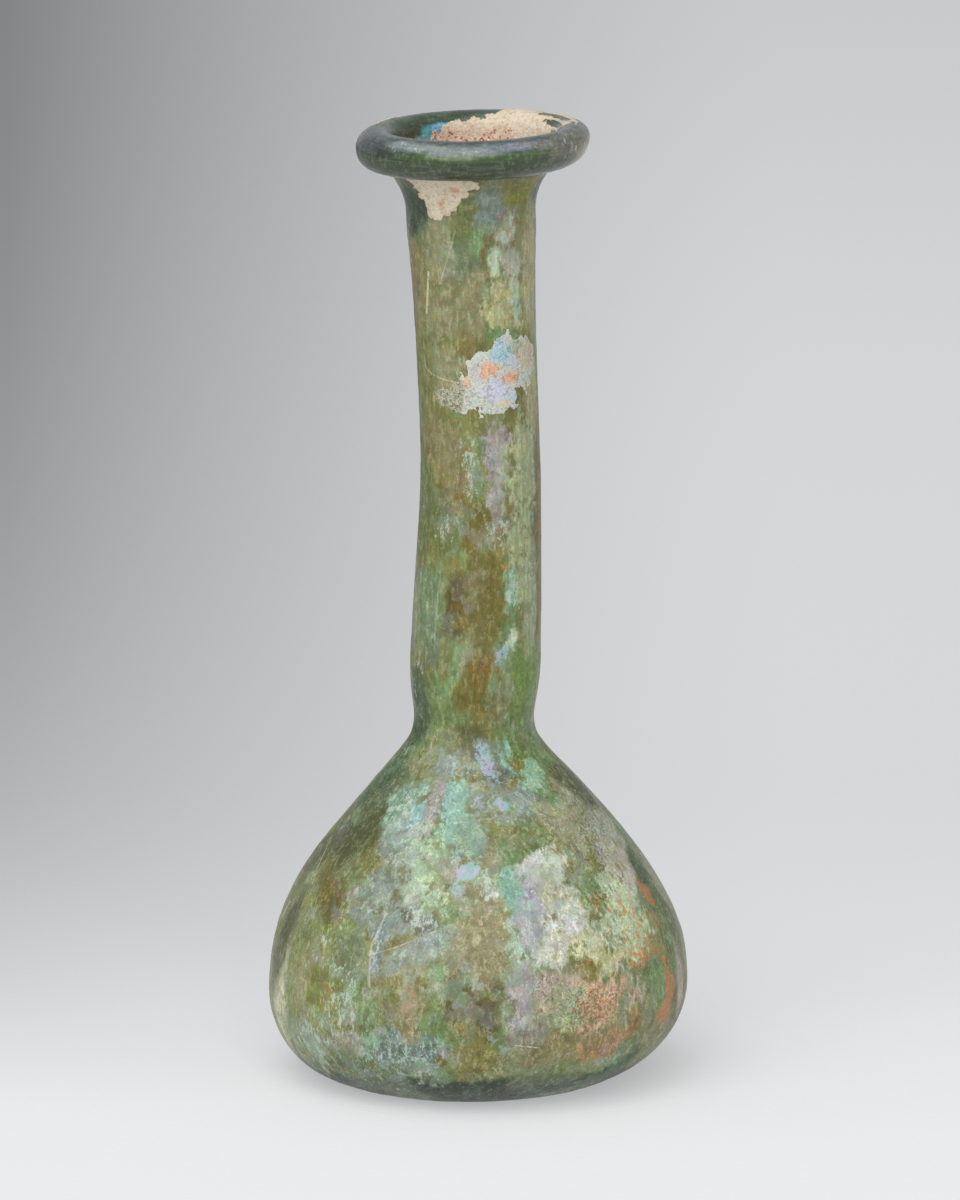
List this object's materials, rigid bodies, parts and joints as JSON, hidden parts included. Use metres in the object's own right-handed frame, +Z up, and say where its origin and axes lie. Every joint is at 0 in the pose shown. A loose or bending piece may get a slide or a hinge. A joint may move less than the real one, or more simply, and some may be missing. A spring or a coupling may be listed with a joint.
{
  "type": "glass unguentarium",
  "caption": "Hollow blown-glass perfume bottle with a long narrow neck, a pear-shaped body on a flat standing ring, and a rolled collar rim round an open mouth.",
  "frame": {"origin": "on the ground, under the middle of the body", "axes": "+Z up along the neck, front of the bottle towards -Y, +X to the viewer's right"},
  "size_m": [0.0634, 0.0626, 0.1454],
  "materials": {
    "glass": "olive-green blown glass with milky, iridescent weathering, lime crust in the mouth"
  },
  "bodies": {
    "root": {"flask": "glass"}
  },
  "joints": []
}
